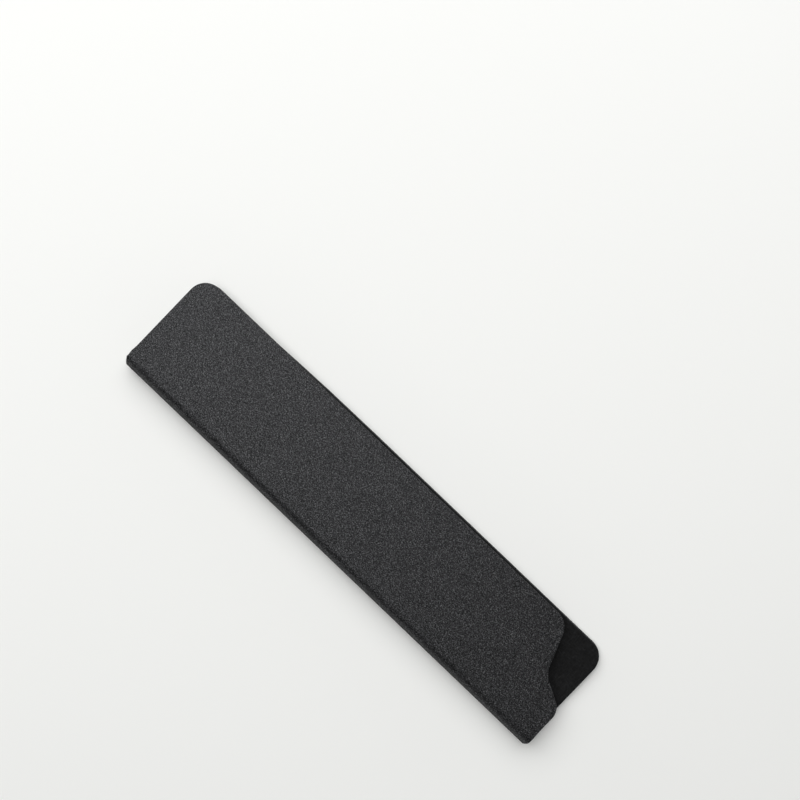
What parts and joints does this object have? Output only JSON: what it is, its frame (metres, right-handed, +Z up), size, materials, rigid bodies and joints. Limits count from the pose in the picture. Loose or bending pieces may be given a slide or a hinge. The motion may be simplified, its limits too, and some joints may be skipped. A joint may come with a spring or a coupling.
{
  "type": "knife blade guard",
  "caption": "Flat blade guard folded from felt-lined plastic sheet, open along a long edge and both ends, notched at the handle end; it flexes open at its fold and grips the blade.",
  "frame": {"origin": "centre of the guard's rectangle, on the underside of the back panel that it lies on", "axes": "+X along the guard from its tip end to its handle end, +Y from the fold to the open mouth, +Z up through the front panel"},
  "size_m": [0.132, 0.029, 0.0052],
  "materials": {
    "sheet": "matte charcoal black with a fine sand grain",
    "felt": "short black felt, brushed flat"
  },
  "bodies": {
    "back_half": {"back_panel": "sheet", "back_bend": "sheet", "back_lining": "felt", "fold_lining": "felt"},
    "front_half": {"front_panel": "sheet", "front_bend": "sheet", "front_lining": "felt"}
  },
  "joints": [
    {"name": "fold_flex", "type": "hinge", "parent": "back_half", "child": "front_half", "pos_m": [0, -0.0119, 0.0026], "axis": [1, 0, 0], "range_deg": [0, 10], "stiffness_Nm_per_rad": 1.2, "deforming": ["front_bend", "fold_lining"]}
  ]
}
